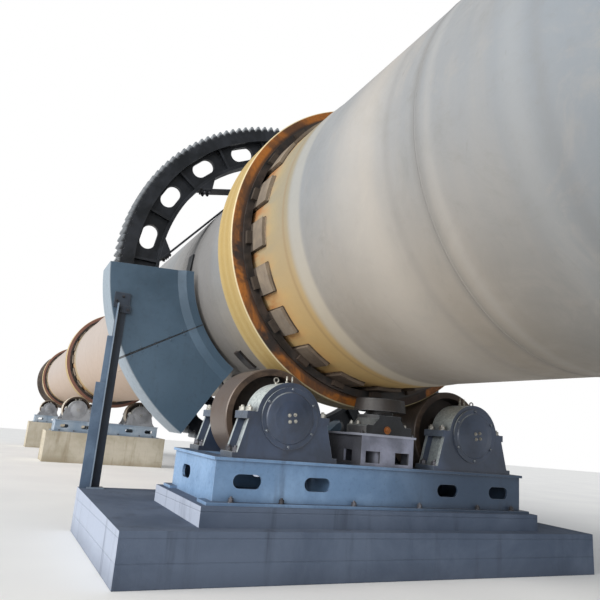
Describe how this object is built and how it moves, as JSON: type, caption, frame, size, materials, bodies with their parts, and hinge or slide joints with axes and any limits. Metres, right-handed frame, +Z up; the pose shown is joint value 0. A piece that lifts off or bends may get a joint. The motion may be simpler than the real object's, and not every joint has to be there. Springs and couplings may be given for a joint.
{
  "type": "rotary kiln",
  "caption": "Brick-lined rotary kiln: a long sloping steel drum with riding rings on support rollers, turned by a girth gear and pinion, on concrete piers.",
  "frame": {"origin": "on the ground, under the middle of the whole kiln", "axes": "+X along the kiln towards the feed end, which is the higher one; +Y to the guarded side; +Z up"},
  "size_m": [35.4587, 4.3518, 5.0092],
  "materials": {
    "shell_plate": "matte",
    "lining_brick": "matte",
    "ring_steel": "matte",
    "pad_steel": "matte",
    "riding_ring_steel": "satin",
    "greased_steel": "satin",
    "gear_steel": "satin",
    "housing_paint": "satin",
    "roller_steel": "satin",
    "thrust_steel": "matte",
    "frame_paint": "satin",
    "post_steel": "matte",
    "guard_paint": "satin",
    "drive_paint": "satin",
    "pier_concrete": "matte",
    "plinth_concrete": "matte"
  },
  "bodies": {
    "root": {"roller_bearings_1": "housing_paint", "roller_bearings_2": "housing_paint", "roller_bearings_3": "housing_paint", "bearing_covers_1": "housing_paint", "bearing_covers_2": "housing_paint", "bearing_covers_3": "housing_paint", "base_frame_1": "frame_paint", "base_frame_2": "frame_paint", "base_frame_3": "frame_paint", "thrust_stand": "thrust_steel", "guard_left_upper": "guard_paint", "guard_left_lower": "guard_paint", "guard_right_upper": "guard_paint", "guard_posts": "post_steel", "pinion_bearings": "housing_paint", "pinion_stand": "frame_paint", "gear_reducer": "drive_paint", "drive_motor": "drive_paint", "pier_1": "pier_concrete", "pier_2": "plinth_concrete", "pier_3": "plinth_concrete"},
    "drum": {"shell": "shell_plate", "brick_lining": "lining_brick", "discharge_end_ring": "ring_steel", "feed_end_ring": "ring_steel", "tyre_1": "riding_ring_steel", "tyre_2": "riding_ring_steel", "tyre_3": "riding_ring_steel", "tyre_pads_1": "pad_steel", "tyre_pads_2": "pad_steel", "tyre_pads_3": "pad_steel", "stop_rings_1": "greased_steel", "stop_rings_2": "greased_steel", "stop_rings_3": "greased_steel", "girth_gear": "gear_steel", "spring_plates": "gear_steel"},
    "roller_1_left": {"roller_1_left": "roller_steel"},
    "roller_1_right": {"roller_1_right": "roller_steel"},
    "roller_2_left": {"roller_2_left": "roller_steel"},
    "roller_2_right": {"roller_2_right": "roller_steel"},
    "roller_3_left": {"roller_3_left": "roller_steel"},
    "roller_3_right": {"roller_3_right": "roller_steel"},
    "thrust_roller": {"thrust_roller": "thrust_steel"},
    "pinion": {"pinion": "gear_steel"}
  },
  "joints": [
    {"name": "drum_spin", "type": "hinge", "parent": "root", "child": "drum", "pos_m": [-12.6987, 0, 2.75], "axis": [0.9997, 0, 0.025], "continuous": true},
    {"name": "roller_1_left_spin", "type": "hinge", "parent": "root", "child": "roller_1_left", "pos_m": [-12.65865, 0.9252, 1.14801], "axis": [0.9997, 0, 0.025], "continuous": true},
    {"name": "roller_1_right_spin", "type": "hinge", "parent": "root", "child": "roller_1_right", "pos_m": [-12.65865, -0.9252, 1.14801], "axis": [0.9997, 0, 0.025], "continuous": true},
    {"name": "roller_2_left_spin", "type": "hinge", "parent": "root", "child": "roller_2_left", "pos_m": [1.83682, 0.9252, 1.51039], "axis": [0.9997, 0, 0.025], "continuous": true},
    {"name": "roller_2_right_spin", "type": "hinge", "parent": "root", "child": "roller_2_right", "pos_m": [1.83682, -0.9252, 1.51039], "axis": [0.9997, 0, 0.025], "continuous": true},
    {"name": "roller_3_left_spin", "type": "hinge", "parent": "root", "child": "roller_3_left", "pos_m": [13.7331, 0.9252, 1.8078], "axis": [0.9997, 0, 0.025], "continuous": true},
    {"name": "roller_3_right_spin", "type": "hinge", "parent": "root", "child": "roller_3_right", "pos_m": [13.7331, -0.9252, 1.8078], "axis": [0.9997, 0, 0.025], "continuous": true},
    {"name": "thrust_roller_spin", "type": "hinge", "parent": "root", "child": "thrust_roller", "pos_m": [-13.05724, 0, 1.27058], "axis": [-0.025, 0, 0.9997], "continuous": true},
    {"name": "pinion_spin", "type": "hinge", "parent": "root", "child": "pinion", "pos_m": [-10.85896, -1.52083, 0.98297], "axis": [0.9997, 0, 0.025], "continuous": true}
  ],
  "couplings": [
    {"joint": "roller_1_left_spin", "follows": "drum_spin", "ratio": -3.625},
    {"joint": "roller_1_right_spin", "follows": "drum_spin", "ratio": -3.625},
    {"joint": "roller_2_left_spin", "follows": "drum_spin", "ratio": -3.625},
    {"joint": "roller_2_right_spin", "follows": "drum_spin", "ratio": -3.625},
    {"joint": "roller_3_left_spin", "follows": "drum_spin", "ratio": -3.625},
    {"joint": "roller_3_right_spin", "follows": "drum_spin", "ratio": -3.625},
    {"joint": "thrust_roller_spin", "follows": "drum_spin", "ratio": 6.5909},
    {"joint": "pinion_spin", "follows": "drum_spin", "ratio": -7.0476}
  ]
}
